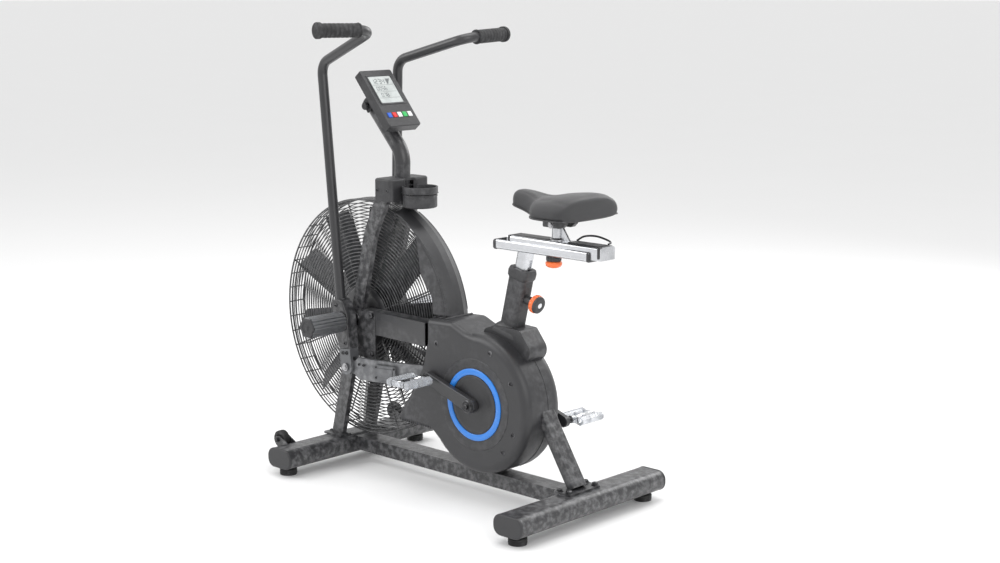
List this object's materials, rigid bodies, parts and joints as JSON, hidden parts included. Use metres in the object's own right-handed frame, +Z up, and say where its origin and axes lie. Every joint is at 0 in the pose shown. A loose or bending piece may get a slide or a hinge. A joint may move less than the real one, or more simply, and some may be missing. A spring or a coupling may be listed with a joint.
{
  "type": "air bike",
  "caption": "Fan-resistance exercise bike with swinging arms, push rods to the crank, sliding saddle and tilting console.",
  "frame": {"origin": "middle of the footprint box, on the floor", "axes": "+X to the rear (saddle side), -Y to the rider's left, +Z up"},
  "size_m": [1.21, 0.6176, 1.278],
  "materials": {
    "black_paint": "satin powder coat, fine texture",
    "black_plastic": "moulded, fine grain",
    "grey_metal": "satin paint",
    "silver_alloy": "brushed, anodised",
    "steel": "machined",
    "rubber": "matte",
    "grip_foam": "foam, fine texture",
    "vinyl": "padded, soft sheen",
    "blue_plastic": "semi-gloss",
    "orange_plastic": "semi-gloss",
    "clear_plastic": "clear",
    "screen_glass": "display window",
    "white_plastic": "semi-gloss",
    "green_plastic": "semi-gloss",
    "red_plastic": "semi-gloss"
  },
  "bodies": {
    "frame": {"front_stabilizer": "black_paint", "rear_stabilizer": "black_paint", "stabilizer_end_caps": "black_plastic", "leveling_feet": "rubber", "base_beam": "black_paint", "rear_strut": "black_paint", "left_fork_leg": "black_paint", "right_fork_leg": "black_paint", "left_side_rail": "black_paint", "right_side_rail": "black_paint", "mast": "black_paint", "cup_holder": "black_plastic", "left_cover": "black_plastic", "right_cover": "black_plastic", "shroud": "black_plastic", "trim_rings": "blue_plastic", "side_discs": "black_plastic", "bottom_bracket": "black_paint", "guard_near": "black_paint", "guard_far": "black_paint", "guard_band": "black_paint", "fan_axle": "steel", "foot_pegs": "silver_alloy", "drive_belts": "rubber", "ball_bearings": "steel", "seat_tube": "black_plastic", "wheel_forks": "black_paint", "fasteners": "steel"},
    "crankset": {"crank_spindle": "steel", "left_crank": "black_paint", "right_crank": "black_paint", "crank_pulley": "silver_alloy"},
    "pedal_left": {"left_pedal": "clear_plastic"},
    "pedal_right": {"right_pedal": "clear_plastic"},
    "jackshaft_unit": {"jackshaft": "steel"},
    "fan": {"fan_hub": "black_plastic", "fan_blades": "black_plastic"},
    "arm_left": {"left_handle": "black_paint", "left_grip": "grip_foam", "left_lever": "grey_metal"},
    "arm_right": {"right_handle": "black_paint", "right_grip": "grip_foam", "right_lever": "grey_metal"},
    "rod_left": {"left_link": "grey_metal"},
    "rod_right": {"right_link": "grey_metal"},
    "seat_column": {"seat_post": "silver_alloy"},
    "saddle_slider": {"saddle_carriage": "silver_alloy"},
    "saddle_top": {"saddle_clamp": "black_plastic", "saddle": "vinyl"},
    "post_pin": {"post_knob": "orange_plastic"},
    "rail_pin": {"rail_knob": "orange_plastic"},
    "console": {"console_case": "black_plastic", "console_screen": "screen_glass"},
    "key_up": {"up_button": "white_plastic"},
    "key_start": {"start_button": "green_plastic"},
    "key_down": {"down_button": "white_plastic"},
    "key_stop": {"stop_button": "red_plastic"},
    "key_mode": {"mode_button": "blue_plastic"},
    "wheel_left": {"left_wheel": "rubber"},
    "wheel_right": {"right_wheel": "rubber"}
  },
  "joints": [
    {"name": "crank_spin", "type": "hinge", "parent": "frame", "child": "crankset", "pos_m": [0.219, 0, 0.272], "axis": [0, 1, 0], "continuous": true},
    {"name": "left_pedal_spin", "type": "hinge", "parent": "crankset", "child": "pedal_left", "pos_m": [0.05922, -0.168, 0.32392], "axis": [0, 1, 0], "continuous": true},
    {"name": "right_pedal_spin", "type": "hinge", "parent": "crankset", "child": "pedal_right", "pos_m": [0.37878, 0.168, 0.22009], "axis": [0, 1, 0], "continuous": true},
    {"name": "jackshaft_spin", "type": "hinge", "parent": "frame", "child": "jackshaft_unit", "pos_m": [0.121, 0, 0.436], "axis": [0, 1, 0], "continuous": true},
    {"name": "fan_spin", "type": "hinge", "parent": "frame", "child": "fan", "pos_m": [-0.265, 0, 0.436], "axis": [0, 1, 0], "continuous": true},
    {"name": "left_arm_swing", "type": "hinge", "parent": "frame", "child": "arm_left", "pos_m": [-0.265, -0.104, 0.436], "axis": [0, 1, 0], "range_deg": [-8.5, 15.5]},
    {"name": "right_arm_swing", "type": "hinge", "parent": "frame", "child": "arm_right", "pos_m": [-0.265, 0.104, 0.436], "axis": [0, 1, 0], "range_deg": [-15.5, 8.5]},
    {"name": "left_rod_pivot", "type": "hinge", "parent": "arm_left", "child": "rod_left", "pos_m": [-0.24983, -0.104, 0.30689], "axis": [0, 1, 0], "range_deg": [-15.5, 8.5]},
    {"name": "right_rod_pivot", "type": "hinge", "parent": "arm_right", "child": "rod_right", "pos_m": [-0.26568, 0.104, 0.306], "axis": [0, 1, 0], "range_deg": [-8.5, 15.5]},
    {"name": "seat_height", "type": "slide", "parent": "frame", "child": "seat_column", "axis": [0.2317, 0, 0.9728], "range_m": [-0.02, 0.14]},
    {"name": "saddle_slide", "type": "slide", "parent": "seat_column", "child": "saddle_slider", "axis": [1, 0, 0], "range_m": [-0.06, 0.05]},
    {"name": "saddle_tilt", "type": "hinge", "parent": "saddle_slider", "child": "saddle_top", "pos_m": [0.438, 0, 0.772], "axis": [0, 1, 0], "range_deg": [-8, 8]},
    {"name": "post_pin_pull", "type": "slide", "parent": "frame", "child": "post_pin", "axis": [0.9728, 0, -0.2317], "range_m": [0, 0.01], "stiffness_N_per_m": 1500, "springref_m": -0.005},
    {"name": "rail_pin_pull", "type": "slide", "parent": "seat_column", "child": "rail_pin", "axis": [0, 0, -1], "range_m": [0, 0.01], "stiffness_N_per_m": 1500, "springref_m": -0.005},
    {"name": "console_tilt", "type": "hinge", "parent": "frame", "child": "console", "pos_m": [-0.245, 0, 1.039], "axis": [0, 1, 0], "range_deg": [-20, 5]},
    {"name": "up_press", "type": "slide", "parent": "console", "child": "key_up", "axis": [-0.766, 0, -0.6428], "range_m": [0, 0.0015], "stiffness_N_per_m": 600, "springref_m": -0.001},
    {"name": "start_press", "type": "slide", "parent": "console", "child": "key_start", "axis": [-0.766, 0, -0.6428], "range_m": [0, 0.0015], "stiffness_N_per_m": 600, "springref_m": -0.001},
    {"name": "down_press", "type": "slide", "parent": "console", "child": "key_down", "axis": [-0.766, 0, -0.6428], "range_m": [0, 0.0015], "stiffness_N_per_m": 600, "springref_m": -0.001},
    {"name": "stop_press", "type": "slide", "parent": "console", "child": "key_stop", "axis": [-0.766, 0, -0.6428], "range_m": [0, 0.0015], "stiffness_N_per_m": 600, "springref_m": -0.001},
    {"name": "mode_press", "type": "slide", "parent": "console", "child": "key_mode", "axis": [-0.766, 0, -0.6428], "range_m": [0, 0.0015], "stiffness_N_per_m": 600, "springref_m": -0.001},
    {"name": "left_wheel_spin", "type": "hinge", "parent": "frame", "child": "wheel_left", "pos_m": [-0.417, -0.222, 0.086], "axis": [0, 1, 0], "continuous": true},
    {"name": "right_wheel_spin", "type": "hinge", "parent": "frame", "child": "wheel_right", "pos_m": [-0.417, 0.222, 0.086], "axis": [0, 1, 0], "continuous": true}
  ],
  "couplings": [
    {"joint": "jackshaft_spin", "follows": "crank_spin", "ratio": 4.0909},
    {"joint": "fan_spin", "follows": "crank_spin", "ratio": 4.6488},
    {"joint": "right_arm_swing", "follows": "left_arm_swing", "ratio": -1},
    {"joint": "left_rod_pivot", "follows": "left_arm_swing", "ratio": -1},
    {"joint": "right_rod_pivot", "follows": "left_arm_swing", "ratio": 1}
  ]
}
